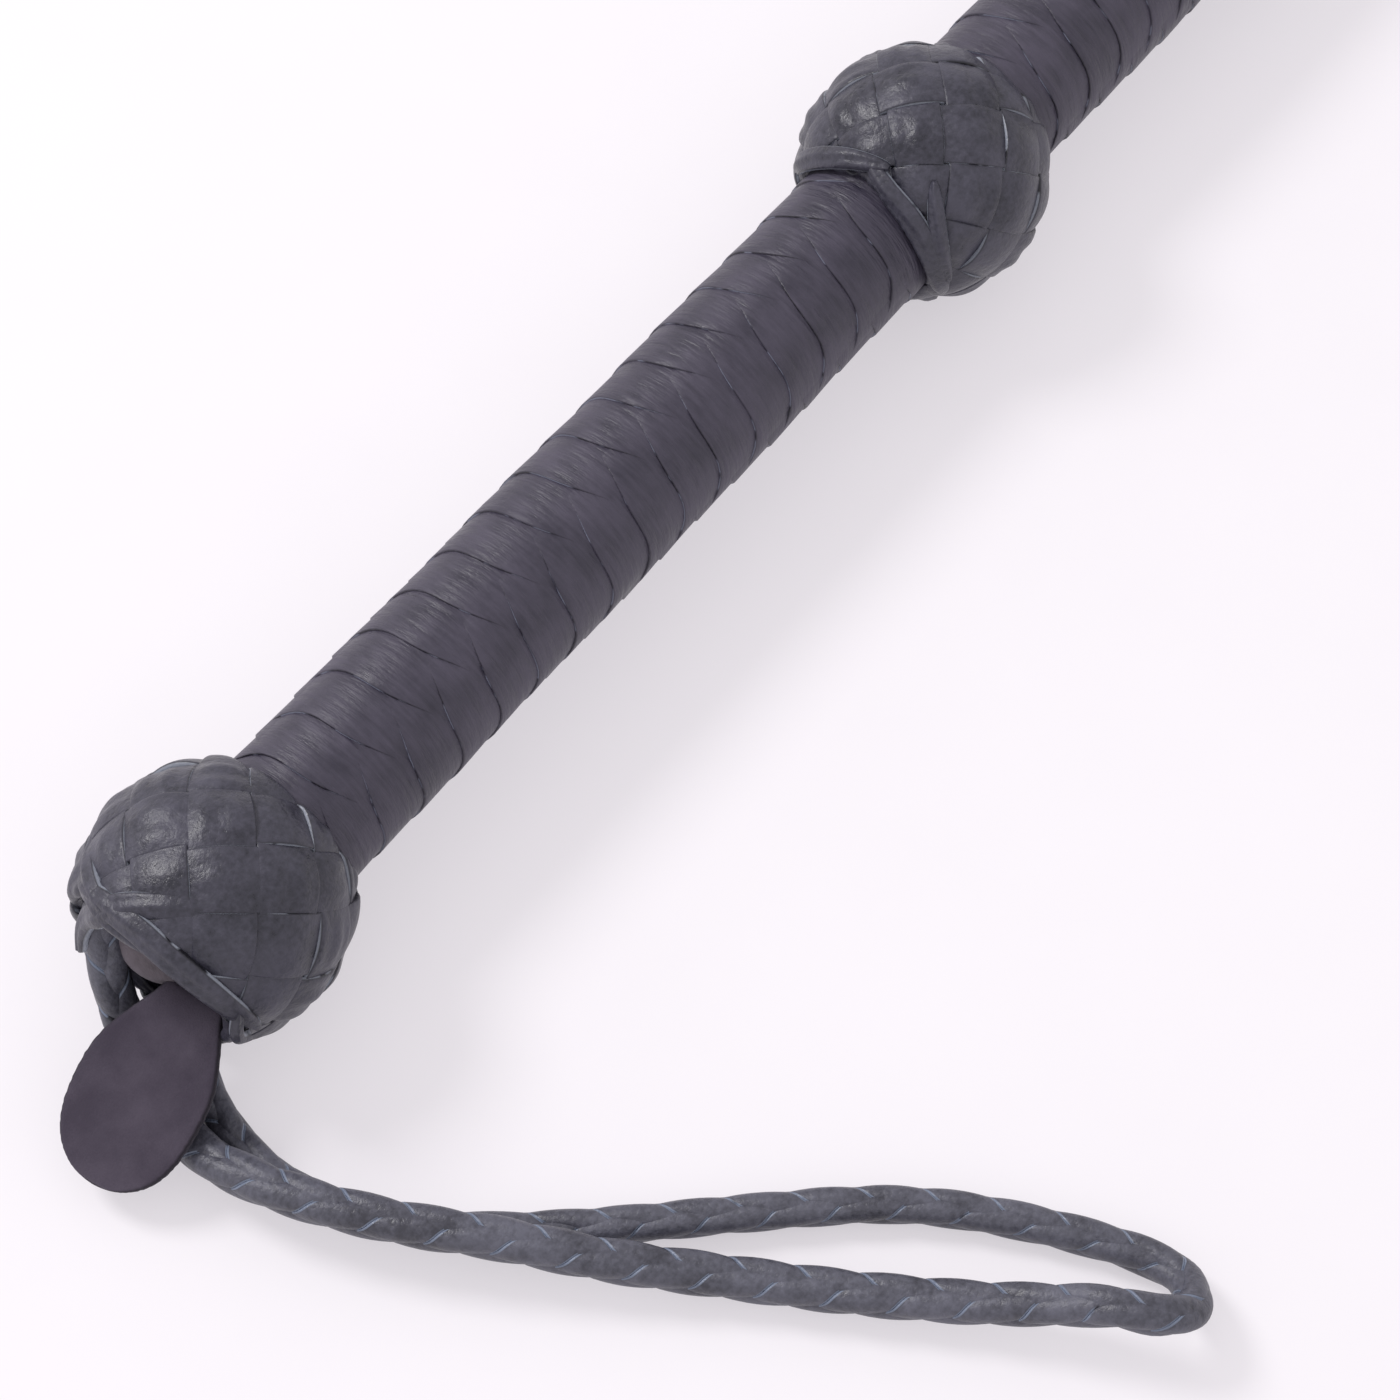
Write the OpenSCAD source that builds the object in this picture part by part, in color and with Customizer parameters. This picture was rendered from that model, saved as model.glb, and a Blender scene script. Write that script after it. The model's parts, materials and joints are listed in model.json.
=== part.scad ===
// Riding crop lying on a flat surface: +X runs from the butt to the tip, +Z is up, millimetres.
// The origin is on the surface, below the middle of the crop's length.

/* [Handle] */
// diameter of the plaited grip
grip_d = 22; // [20:0.5:24]
// diameter of the pommel knot and of the collar knot
knot_d = 36; // [33:0.1:37]
// distance between the centres of the two knots
knot_spacing = 144; // [110:1:200]
// thickness of one leather strand
strand_t = 0.65; // [0.5:0.05:0.8]

/* [Shaft] */
// diameter of the plaited shaft where it leaves the collar knot
shaft_root_d = 23.2; // [20:0.1:25]
// length of the plaited shaft beyond the collar knot's centre
shaft_len = 400; // [300:5:500]
// diameter of the plaited shaft at its tip end
tip_d = 7.6; // [7:0.1:9]
// diameter of the spine rod inside the grip
rod_d = 6; // [5:0.1:7]
// diameter of the spine rod at the tip
rod_tip_d = 2.8; // [2.4:0.1:3.2]

/* [Keeper] */
// length of the keeper flap
keeper_len = 66; // [50:1:80]
// width of the keeper flap
keeper_w = 28; // [20:1:32]
// thickness of the folded keeper flap
keeper_t = 2.8; // [2:0.1:3]

/* [Butt] */
// diameter of the wrist loop's braided cord
cord_d = 5.2; // [4.6:0.1:5.4]
// length of the suede tongue
tongue_len = 27; // [24:0.5:28]
// width of the suede tongue
tongue_w = 18; // [14:0.1:19]
// thickness of the suede tongue
tongue_t = 1.8; // [1.4:0.1:2]

/* [Hidden] */
$fn = 64;

leather = [0.11, 0.10, 0.12];
suede = [0.20, 0.18, 0.21];
thread = [0.07, 0.07, 0.08];
timber = [0.55, 0.40, 0.25];
iron = [0.35, 0.35, 0.36];
fibre = [0.80, 0.78, 0.68];

// clearance between pieces that only touch
gap = 0.1;

// knots: a woven cover of lace over a round former
knot_r = knot_d / 2;
knot_wall = 2.4;
former_r = knot_r - knot_wall - gap;
grip_r = grip_d / 2;
shaft_root_r = shaft_root_d / 2;

// height of the crop's axis, which rests on its two knots
axis_z = knot_r;

// stations along the axis, counted from the pommel's centre line, with the pommel knot's middle nearer the butt
pommel_knot_x = -2;
ball_cut = -8.5;
disc_t = 2;
disc_x = ball_cut - gap;
disc_r = 10.3;
mouth_r = 12.6;
tenon_r = 5;
tenon_x = -6;
core_x = 10;
collar_x = knot_spacing;
joint_half = 2;
rod_x = tenon_x + 3;
shaft_x = collar_x + joint_half;
tip_x = collar_x + shaft_len;
binding_len = 16;
binding_wall = 0.9;
ferrule_len = 3;
// the keeper turns on the round end of its neck, just clear of the plug
keeper_gap = 0.3;
keeper_x = tip_x + ferrule_len + keeper_gap + keeper_t / 2;

// the tongue leaves the mouth of the pommel knot, slopes down and turns a little toward -Y
tongue_hinge = [-12.2, -6, axis_z - 2.8];
tongue_slope = 20;
tongue_yaw = 8;
tongue_neck_w = 8.6;
tongue_low_x = tongue_hinge[0]
  - (tongue_len - tongue_w / 2) * cos(tongue_yaw) * cos(tongue_slope)
  - tongue_w / 2 * sqrt(pow(cos(tongue_yaw) * cos(tongue_slope), 2) + pow(sin(tongue_yaw), 2))
  - tongue_t / 2 * sin(tongue_slope) * cos(tongue_yaw);

// place of the pommel's centre, which puts the origin below the middle of the whole length
pommel_x = -(tongue_low_x + keeper_x + keeper_len) / 2;

// plaits: two strands wind each way, the second pair over the first
ply_gap = 0.15;
ply_fill = 0.96;
grip_lead = 0.69 * grip_d;
shaft_lead_end = 1.2 * tip_d;
grip_sides = 12;
shaft_sides = 8;
grip_start = 10.3;
grip_end = collar_x - joint_half;
core_gap = 0.2;

// radii of the handle core and of the shaft's filling, below the flats of the plaits
plait_t = 2 * strand_t + ply_gap;
core_r = (grip_r - plait_t) * cos(180 / grip_sides) - core_gap;
bolster_r = (shaft_root_r - plait_t) * cos(180 / shaft_sides) - core_gap;
bolster_tip_r = (tip_d / 2 - plait_t) * cos(180 / shaft_sides) - core_gap;

// route of the wrist loop's cord from the pommel's centre line down to the surface and back
loop_route = [
  [-11.8, 8.4, 22], [-13.4, 8.6, 19.8], [-14.6, 7.7, 16.8], [-15.8, 6.4, 13.6], [-16.8, 5.2, 10.4],
  [-17.8, 3.6, 7], [-19, 1, 4.2], [-20.5, -2.5, 3], [-22.6, -7, 3.2], [-24.6, -12.5, 4.5],
  [-25.3, -18.8, 5.9], [-24.6, -25, 7.4], [-22.7, -31.7, 8.1], [-19.7, -38.9, 8.2], [-16.2, -45.7, 8.1],
  [-11, -54.5, 7.6], [-4, -66.5, 5.8], [4, -78.8, 4.2], [12, -91.8, 4.2], [20, -104.2, 5.2],
  [25.5, -112.8, 7.6], [28.6, -118.4, 10], [31.4, -123.4, 9.8], [35.6, -125.4, 6.8], [39.2, -122.2, 3.8],
  [39, -116.8, 2.8], [36.9, -110.6, 2.8], [32.9, -101.7, 2.8], [28, -92.9, 2.8], [22, -84.9, 2.8],
  [11.6, -74, 2.8], [1, -63.3, 2.8], [-9, -52.3, 2.8], [-16, -42.3, 2.8], [-20, -33.5, 2.8],
  [-21.4, -25.5, 2.8], [-20.8, -19, 2.8], [-19.4, -13.8, 3], [-17.8, -10.2, 4.8], [-16, -8.2, 7.4],
  [-13, -6.4, 10.2]
];
cord_sides = 10;
ring_share = 0.5;

// keeper: a flap folded at its far end, on a narrow neck, sewn along its edges
keeper_neck_w = 7;
keeper_shoulder = 16;
keeper_corner = 5;
stitch_count = 9;
stitch_inset = 2.6;
stitch_r = 0.4;
stitch_proud = 0.25;

// smooth step from 0 to 1
function ease(u) = let (v = min(1, max(0, u))) v * v * (3 - 2 * v);

// radius of the plaited shaft at a distance from the pommel's centre
function shaft_r(x) = shaft_root_r + (tip_d / 2 - shaft_root_r) * (x - shaft_x) / (tip_x - shaft_x);

// radius of the spine rod at a distance from the pommel's centre
function rod_r(x) = (rod_d + (rod_tip_d - rod_d) * max(0, x - shaft_x) / (tip_x - shaft_x)) / 2;

// moves a piece drawn along +Z at the origin onto the crop's axis at a distance from the pommel's centre
module along(x) {
  translate([pommel_x + x, 0, axis_z]) rotate([0, 90, 0]) children();
}

// moves a piece drawn round the pommel's centre line, with its height counted from the surface
module at_pommel() {
  translate([pommel_x, 0, 0]) children();
}

// triangles between one ring of points and the next, and the two end caps
function tube_faces(rings, n) = concat(
  [[for (k = [0:n - 1]) n - 1 - k]],
  [for (i = [0:rings - 2]) for (k = [0:n - 1]) let (a = i * n + k, b = i * n + (k + 1) % n) [a, b, b + n]],
  [for (i = [0:rings - 2]) for (k = [0:n - 1]) let (a = i * n + k, b = i * n + (k + 1) % n) [a, b + n, a + n]],
  [[for (k = [0:n - 1]) (rings - 1) * n + k]]
);

// one flat strand wound round the axis: its lead grows or shrinks evenly from lead_a to lead_b
module strand(x_a, x_b, lead_a, lead_b, r_a, r_b, sides, hand, start, layer) {
  slope = (lead_b - lead_a) / (x_b - x_a);
  first = x_a + lead_a / 4;
  last = x_b - lead_b / 4;
  lead_first = lead_a + slope * (first - x_a);
  turns = abs(slope) < 0.0001
    ? (last - first) / lead_a
    : ln(1 + slope * (last - first) / lead_first) / slope;
  steps = floor(turns * sides);
  centre = function (n) abs(slope) < 0.0001
    ? first + lead_a * n
    : first + lead_first / slope * (exp(slope * n) - 1);
  points = [
    for (i = [0:steps])
      let (
        n = i / sides,
        x = centre(n),
        half = (lead_a + slope * (x - x_a)) / 4 * ply_fill,
        angle = start + hand * 360 * n,
        outer = r_a + (r_b - r_a) * (x - x_a) / (x_b - x_a) - layer * (strand_t + ply_gap),
        inner = outer - strand_t
      )
      for (c = [[-half, inner], [-half, outer], [half, outer], [half, inner]])
        [x + c[0], -c[1] * sin(angle), c[1] * cos(angle)]
  ];
  translate([pommel_x, 0, axis_z])
    polyhedron(points, tube_faces(steps + 1, 4), convexity = 10);
}

// strands 1 and 2 wind to the left below, strands 3 and 4 to the right above
module grip_strand(k) {
  color(leather)
    strand(grip_start, grip_end, grip_lead, grip_lead, grip_r, grip_r, grip_sides,
      k < 2 ? 1 : -1, 180 * (k % 2), k < 2 ? 1 : 0);
}

module shaft_strand(k) {
  color(leather)
    strand(shaft_x, tip_x, grip_lead, shaft_lead_end, shaft_root_r, tip_d / 2, shaft_sides,
      k < 2 ? 1 : -1, 180 * (k % 2), k < 2 ? 1 : 0);
}

// tapered rod through the whole crop
module rod_shape(play) {
  union() {
    along(rod_x) cylinder(h = shaft_x - rod_x, r = rod_d / 2 + play);
    along(shaft_x) cylinder(h = tip_x - shaft_x, r1 = rod_d / 2 + play, r2 = rod_tip_d / 2 + play);
  }
}

module spine_rod() {
  color(fibre) rod_shape(0);
}

// turned handle core with a tenon that enters the pommel ball
module grip_core() {
  color(timber)
    difference() {
      union() {
        along(tenon_x) cylinder(h = core_x - tenon_x, r = tenon_r);
        along(core_x) cylinder(h = grip_end - core_x, r = core_r);
      }
      rod_shape(gap / 2);
      tack_shape(0);
    }
}

// tapered filling between the rod and the shaft's plait
module shaft_bolster() {
  color(timber)
    difference() {
      along(grip_end + gap) cylinder(h = tip_x - grip_end - gap, r1 = bolster_r, r2 = bolster_tip_r);
      rod_shape(gap / 2);
    }
}

// round iron former in the pommel, flat at the butt, bored for the core's tenon and the tack
module pommel_ball() {
  color(iron)
    difference() {
      along(pommel_knot_x) sphere(r = former_r);
      along(-2 * knot_r) cylinder(h = 2 * knot_r + ball_cut, r = knot_r);
      along(tenon_x) cylinder(h = knot_d, r = tenon_r + gap / 2);
      along(core_x - gap) cylinder(h = knot_d, r = grip_r);
      tack_shape(gap / 2);
    }
}

// leather disc that closes the butt
module butt_disc() {
  color(suede)
    difference() {
      along(disc_x - disc_t) cylinder(h = disc_t, r = disc_r);
      tack_shape(gap / 2);
    }
}

// tack that holds the disc: a flat head and a shank into the core
module tack_shape(play) {
  head_r = 1.8;
  head_t = 0.6;
  shank_r = 0.9;
  shank_len = 7;
  along(disc_x - disc_t - head_t) cylinder(h = head_t, r = head_r + play);
  along(disc_x - disc_t - head_t) cylinder(h = shank_len, r = shank_r + play);
}

module butt_tack() {
  color(iron) tack_shape(0);
}

// ring that gives the collar knot its height
module collar_bead() {
  bead_half = 8.5;
  color(timber)
    difference() {
      intersection() {
        along(collar_x) sphere(r = former_r);
        along(collar_x - bead_half) cylinder(h = 2 * bead_half, r = knot_r);
      }
      along(collar_x - knot_r) cylinder(h = knot_d, r = shaft_root_r + gap);
    }
}

// whipping between the ends of the two plaits, under the collar
module collar_binding() {
  color(thread)
    difference() {
      along(grip_end + gap) cylinder(h = 2 * joint_half - 2 * gap, r = grip_r);
      along(grip_end) cylinder(h = 2 * joint_half, r = max(core_r, bolster_r) + gap);
    }
}

// woven knot: a round wall with a mouth at each side
module knot(x, near_r, far_r) {
  color(leather)
    difference() {
      along(x) sphere(r = knot_r);
      along(x) sphere(r = knot_r - knot_wall);
      along(x - knot_d) cylinder(h = knot_d, r = near_r);
      along(x) cylinder(h = knot_d, r = far_r);
    }
}

module pommel_knot() {
  knot(pommel_knot_x, mouth_r, grip_r + gap);
}

module collar_knot() {
  knot(collar_x, grip_r + gap, shaft_root_r + gap);
}

// whipping over the tip end of the shaft's plait
module tip_binding() {
  start = tip_x - binding_len;
  bore_r = shaft_r(start) + gap;
  color(thread)
    difference() {
      along(start) cylinder(h = binding_len, r = bore_r + binding_wall);
      along(start - gap) cylinder(h = binding_len + 2 * gap, r = bore_r);
    }
}

// small plug that closes the tip
module tip_ferrule() {
  color(thread)
    along(tip_x + gap)
      cylinder(h = ferrule_len - gap, r1 = tip_d / 2 + binding_wall, r2 = keeper_neck_w / 2);
}

// half width of the tongue at a distance from its hinge line
function tongue_half(s) =
  let (round_r = tongue_w / 2, round_s = tongue_len - tongue_w / 2)
  s < round_s
    ? (tongue_neck_w + (tongue_w - tongue_neck_w) * ease((s - 1) / (round_s - 4))) / 2
    : sqrt(max(0, round_r * round_r - (s - round_s) * (s - round_s)));

// suede tongue: a round end on a narrow neck, which turns on the round edge of its neck
module butt_tongue() {
  neck_steps = 12;
  round_steps = 16;
  round_r = tongue_w / 2;
  round_s = tongue_len - round_r;
  neck = [for (i = [0:neck_steps - 1])
    let (s = round_s * i / neck_steps) [-s, tongue_half(s)]];
  round_end = [for (i = [0:round_steps])
    let (a = 90 - 180 * i / round_steps) [-round_s - round_r * cos(a), round_r * sin(a)]];
  back = [for (i = [neck_steps - 1:-1:0]) [neck[i][0], -neck[i][1]]];
  color(suede)
    at_pommel() translate(tongue_hinge) rotate([0, -tongue_slope, tongue_yaw])
      union() {
        translate([0, 0, -tongue_t / 2]) linear_extrude(tongue_t) polygon(concat(neck, round_end, back));
        translate([0, tongue_neck_w / 2, 0]) rotate([90, 0, 0]) cylinder(h = tongue_neck_w, r = tongue_t / 2);
      }
}

// point on the loop's smooth route, at a share u of the way from point i to the next
function route_point(p, i, u) =
  let (
    n = len(p) - 1,
    a = p[max(0, i - 1)],
    b = p[i],
    c = p[min(n, i + 1)],
    d = p[min(n, i + 2)]
  )
  (2 * b + (c - a) * u + (2 * a - 5 * b + 4 * c - d) * u * u + (3 * b - a - 3 * c + d) * u * u * u) / 2;

function unit(v) = v / norm(v);

// directions across the route, carried along it without twist
function carried(dirs, i, side) =
  i == len(dirs) ? [] :
  let (s = unit(side - (side * dirs[i]) * dirs[i])) concat([s], carried(dirs, i + 1, s));

// braided cord of the wrist loop
module wrist_loop_cord() {
  n = len(loop_route) - 1;
  line = concat(
    [for (i = [0:n - 1]) for (u = [0:ring_share:1 - ring_share]) route_point(loop_route, i, u)],
    [loop_route[n]]
  );
  m = len(line);
  dirs = [for (i = [0:m - 1]) unit(line[min(m - 1, i + 1)] - line[max(0, i - 1)])];
  sides = carried(dirs, 0, [0, 0, 1]);
  points = [
    for (i = [0:m - 1]) for (k = [0:cord_sides - 1])
      let (a = 360 * k / cord_sides)
      line[i] + cord_d / 2 * (cos(a) * sides[i] + sin(a) * cross(dirs[i], sides[i]))
  ];
  color(leather) at_pommel() polyhedron(points, tube_faces(m, cord_sides), convexity = 10);
}

// half width of the keeper at a distance from its neck
function keeper_half(s) =
  let (in_corner = max(0, s - (keeper_len - keeper_corner)))
  (keeper_neck_w + (keeper_w - keeper_neck_w) * ease(s / keeper_shoulder)) / 2
    - keeper_corner + sqrt(max(0, keeper_corner * keeper_corner - in_corner * in_corner));

// leather keeper flap
module keeper_flap() {
  shoulder_steps = 10;
  corner_steps = 6;
  stations = concat(
    [for (i = [0:shoulder_steps]) keeper_shoulder * i / shoulder_steps],
    [for (i = [0:corner_steps]) keeper_len - keeper_corner * cos(90 * i / corner_steps)]
  );
  upper = [for (s = stations) [s, keeper_half(s)]];
  lower = [for (i = [len(upper) - 1:-1:0]) [upper[i][0], -upper[i][1]]];
  color(leather)
    translate([pommel_x + keeper_x, 0, axis_z])
      union() {
        translate([0, 0, -keeper_t / 2]) linear_extrude(keeper_t) polygon(concat(upper, lower));
        translate([0, keeper_neck_w / 2, 0]) rotate([90, 0, 0]) cylinder(h = keeper_neck_w, r = keeper_t / 2);
      }
}

// threads that sew the keeper's two leaves together
module keeper_stitches() {
  first = keeper_shoulder;
  last = keeper_len - keeper_corner - stitch_inset;
  color(thread)
    for (side = [-1, 1]) for (i = [0:stitch_count - 1])
      translate([
        pommel_x + keeper_x + first + (last - first) * i / (stitch_count - 1),
        side * (keeper_w / 2 - stitch_inset),
        axis_z - keeper_t / 2 - stitch_proud
      ])
        cylinder(h = keeper_t + 2 * stitch_proud, r = stitch_r);
}

spine_rod();
grip_core();
shaft_bolster();
pommel_ball();
butt_disc();
butt_tack();
collar_bead();
collar_binding();
grip_strand(0);  // grip_strand_1
grip_strand(1);  // grip_strand_2
grip_strand(2);  // grip_strand_3
grip_strand(3);  // grip_strand_4
shaft_strand(0);  // shaft_strand_1
shaft_strand(1);  // shaft_strand_2
shaft_strand(2);  // shaft_strand_3
shaft_strand(3);  // shaft_strand_4
pommel_knot();
collar_knot();
tip_binding();
tip_ferrule();
butt_tongue();
wrist_loop_cord();
keeper_flap();
keeper_stitches();
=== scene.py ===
"""The looks of the riding crop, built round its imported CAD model. Lengths are in metres."""

import json
import math

import bmesh
import bpy
import numpy as np
from mathutils import Matrix, Vector


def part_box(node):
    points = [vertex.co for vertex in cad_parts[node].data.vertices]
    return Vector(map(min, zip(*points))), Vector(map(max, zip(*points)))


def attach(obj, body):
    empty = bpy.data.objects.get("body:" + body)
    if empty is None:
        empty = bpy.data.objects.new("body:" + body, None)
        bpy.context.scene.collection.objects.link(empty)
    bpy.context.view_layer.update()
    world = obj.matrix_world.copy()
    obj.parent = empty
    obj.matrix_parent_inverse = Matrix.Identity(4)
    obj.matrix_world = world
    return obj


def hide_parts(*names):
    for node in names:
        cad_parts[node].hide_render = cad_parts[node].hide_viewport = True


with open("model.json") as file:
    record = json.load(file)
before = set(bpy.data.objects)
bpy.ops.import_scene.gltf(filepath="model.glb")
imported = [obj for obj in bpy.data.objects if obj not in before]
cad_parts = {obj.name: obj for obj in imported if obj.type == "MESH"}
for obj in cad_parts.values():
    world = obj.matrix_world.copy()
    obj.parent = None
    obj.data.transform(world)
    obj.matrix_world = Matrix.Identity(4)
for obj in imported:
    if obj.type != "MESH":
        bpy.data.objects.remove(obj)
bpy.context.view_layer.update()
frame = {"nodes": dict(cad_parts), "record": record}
MM = 0.001


# ---------------------------------------------------------------- places, from the frame

knot_low, knot_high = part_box("collar_knot")
KNOT_R = (knot_high.z - knot_low.z) / 2
AXIS_Z = (knot_high.z + knot_low.z) / 2
bead_low, bead_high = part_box("collar_bead")
COLLAR_X = (bead_high.x + bead_low.x) / 2
# the pommel's centre line, and the middle of its knot
POMMEL_X = COLLAR_X - 144 * MM
POMMEL_KNOT_X = POMMEL_X - 2 * MM
grip_low, grip_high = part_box("grip_strand_4")
GRIP_R = (grip_high.z - grip_low.z) / 2
GRIP_START, GRIP_END = grip_low.x, grip_high.x
shaft_low, shaft_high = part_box("shaft_strand_4")
SHAFT_START, SHAFT_END = shaft_low.x, shaft_high.x
CORD_D = 5.2 * MM
STRAND_T = 0.65 * MM
disc_low, disc_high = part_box("butt_disc")
keeper_low, keeper_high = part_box("keeper_flap")
JOINT_PLACE = {j["name"]: Vector(j["pos_m"]) for j in frame["record"]["behaviour"]["joints"]}


# ---------------------------------------------------------------- camera

def make_camera():
    """A long lens, looking down on the pommel and the grip from the butt's side."""
    azimuth, elevation = math.radians(-50.856), math.radians(61.083)
    distance = 502.73 * MM
    target = Vector((POMMEL_X + 58.738 * MM, -29.182 * MM, AXIS_Z))
    back = Vector((
        math.sin(azimuth) * math.cos(elevation),
        -math.cos(azimuth) * math.cos(elevation),
        math.sin(elevation),
    ))
    data = bpy.data.cameras.new("camera")
    data.sensor_width = 36
    data.lens = 99.86
    data.clip_start = 0.02
    data.clip_end = 20
    camera = bpy.data.objects.new("camera", data)
    bpy.context.scene.collection.objects.link(camera)
    camera.location = target + distance * back
    camera.rotation_mode = "QUATERNION"
    camera.rotation_quaternion = (-back).to_track_quat("-Z", "Y")
    bpy.context.scene.camera = camera


make_camera()


# ---------------------------------------------------------------- mesh tools

def make_mesh(name, points, faces, values=None, smooth=True):
    """A mesh object, with values as named numbers on its points."""
    mesh = bpy.data.meshes.new(name)
    mesh.from_pydata([tuple(p) for p in points], [], [tuple(f) for f in faces])
    mesh.update()
    for key, numbers in (values or {}).items():
        attribute = mesh.attributes.new(key, "FLOAT", "POINT")
        attribute.data.foreach_set("value", np.asarray(numbers, np.float32))
    if smooth:
        mesh.polygons.foreach_set("use_smooth", [True] * len(mesh.polygons))
    piece = bpy.data.objects.new(name, mesh)
    bpy.context.scene.collection.objects.link(piece)
    return piece


def tube_faces(rings, sides, first=0):
    """Quads between one ring of points and the next, with a flat cap at each end."""
    faces = []
    for i in range(rings - 1):
        for k in range(sides):
            a = first + i * sides + k
            b = first + i * sides + (k + 1) % sides
            faces.append((a, b, b + sides, a + sides))
    last = first + (rings - 1) * sides
    faces.append(tuple(first + k for k in reversed(range(sides))))
    faces.append(tuple(last + k for k in range(sides)))
    return faces


def finish_piece(piece, body, slot, material, *nodes):
    """Gives a piece its material and its body, and hides the CAD nodes that it stands for; slot is not used.
    """
    piece.data.materials.append(material)
    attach(piece, body)
    if nodes:
        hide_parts(*nodes)


def outward(piece):
    """Turns a closed piece's faces to look outward."""
    mesh = bmesh.new()
    mesh.from_mesh(piece.data)
    bmesh.ops.recalc_face_normals(mesh, faces=mesh.faces)
    mesh.to_mesh(piece.data)
    mesh.free()


# ---------------------------------------------------------------- materials

def node_material(name):
    """An empty Principled material and short calls to add nodes to it."""
    material = bpy.data.materials.new(name)
    material.use_nodes = True
    tree = material.node_tree
    tree.nodes.clear()
    out = tree.nodes.new("ShaderNodeOutputMaterial")
    shader = tree.nodes.new("ShaderNodeBsdfPrincipled")
    tree.links.new(shader.outputs["BSDF"], out.inputs["Surface"])
    return material, tree, shader


def value_of(tree, name):
    """The number that a mesh carries under a name."""
    node = tree.nodes.new("ShaderNodeAttribute")
    node.attribute_name = name
    return node.outputs["Fac"]


def noise(tree, scale, detail=3, stretch=None, roughness=0.55):
    """Noise in the object's own space."""
    coords = tree.nodes.new("ShaderNodeTexCoord")
    node = tree.nodes.new("ShaderNodeTexNoise")
    node.inputs["Scale"].default_value = scale
    node.inputs["Detail"].default_value = detail
    node.inputs["Roughness"].default_value = roughness
    source = coords.outputs["Object"]
    if stretch:
        mapping = tree.nodes.new("ShaderNodeMapping")
        mapping.inputs["Scale"].default_value = stretch
        tree.links.new(source, mapping.inputs["Vector"])
        source = mapping.outputs["Vector"]
    tree.links.new(source, node.inputs["Vector"])
    return node.outputs["Fac"]


def remap(tree, source, low, high, to_low, to_high):
    """A number moved from one range to another, and kept inside it."""
    node = tree.nodes.new("ShaderNodeMapRange")
    node.inputs["From Min"].default_value = low
    node.inputs["From Max"].default_value = high
    node.inputs["To Min"].default_value = to_low
    node.inputs["To Max"].default_value = to_high
    tree.links.new(source, node.inputs["Value"])
    return node.outputs["Result"]


def mix_colour(tree, share, first, second):
    """A mix of two colours, each a tuple or a socket."""
    node = tree.nodes.new("ShaderNodeMix")
    node.data_type = "RGBA"
    tree.links.new(share, node.inputs["Factor"])
    for colour, socket in ((first, node.inputs["A"]), (second, node.inputs["B"])):
        if isinstance(colour, tuple):
            socket.default_value = (*colour, 1)
        else:
            tree.links.new(colour, socket)
    return node.outputs["Result"]


def sum_of(tree, *terms):
    """The sum of sockets, each times its weight."""
    total = None
    for source, weight in terms:
        node = tree.nodes.new("ShaderNodeMath")
        node.operation = "MULTIPLY_ADD"
        tree.links.new(source, node.inputs[0])
        node.inputs[1].default_value = weight
        if total is None:
            node.inputs[2].default_value = 0
        else:
            tree.links.new(total, node.inputs[2])
        total = node.outputs[0]
    return total


def multiply(tree, first, second):
    """The product of two sockets."""
    node = tree.nodes.new("ShaderNodeMath")
    node.operation = "MULTIPLY"
    tree.links.new(first, node.inputs[0])
    tree.links.new(second, node.inputs[1])
    return node.outputs[0]


def bump(tree, shader, height, distance):
    """Relief on the shader, from a height."""
    node = tree.nodes.new("ShaderNodeBump")
    node.inputs["Distance"].default_value = distance
    tree.links.new(height, node.inputs["Height"])
    tree.links.new(node.outputs["Normal"], shader.inputs["Normal"])


def leather(name, dark, light, edge, rough_low, rough_high, flecks, streaks=None, relief=1.0,
            seam_shade=0.35):
    """Dyed leather: mottled and creased, with painted shade in its seams, and pale flecks along its cut
    edges that are partly paler cut leather and partly painted highlight.

    flecks is how much of the edges is pale and the last argument how dark the painted seam shade is, from
    0 to 1, and streaks stretches the grain one way.
    stretches the grain one way."""
    material, tree, shader = node_material(name)
    broad = noise(tree, 140, 4)
    fine = noise(tree, 1300, 4, streaks)
    grain = sum_of(tree, (broad, 0.6), (fine, 0.4))
    mottled = mix_colour(tree, remap(tree, grain, 0.36, 0.62, 0, 1), dark, light)
    # painted shade: the seams along the strands' edges, given by rim, are darkened toward a dark copy of the
    # leather, more in some places than others
    rim = value_of(tree, "rim")
    uneven = remap(tree, noise(tree, 90, 2), 0.40, 0.60, seam_shade, 0.9)
    seam_shade_mask = multiply(tree, uneven, remap(tree, rim, 0.2, 0.9, 0, 1))
    seam = mix_colour(tree, seam_shade_mask, mottled, tuple(c * 0.3 for c in dark))
    # pale cut edges in patches: partly the cut leather's own paler colour, partly painted highlight
    least = 0.62 - 0.3 * flecks
    most = 0.68 - 0.3 * flecks
    patches = remap(tree, noise(tree, 210, 2), least, most, 0, 1)
    pale_edge_and_glint = multiply(tree, patches, remap(tree, rim, 0.6, 0.95, 0, 1))
    tree.links.new(mix_colour(tree, pale_edge_and_glint, seam, edge), shader.inputs["Base Color"])
    rough = sum_of(tree, (broad, 0.5), (fine, 0.5))
    tree.links.new(remap(tree, rough, 0.35, 0.65, rough_low, rough_high), shader.inputs["Roughness"])
    creases = noise(tree, 520, 5, streaks, 0.6)
    height = sum_of(tree, (creases, 0.8), (fine, 0.45), (broad, 0.5))
    bump(tree, shader, height, 0.00022 * relief)
    shader.inputs["Specular IOR Level"].default_value = 0.45
    return material


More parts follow.
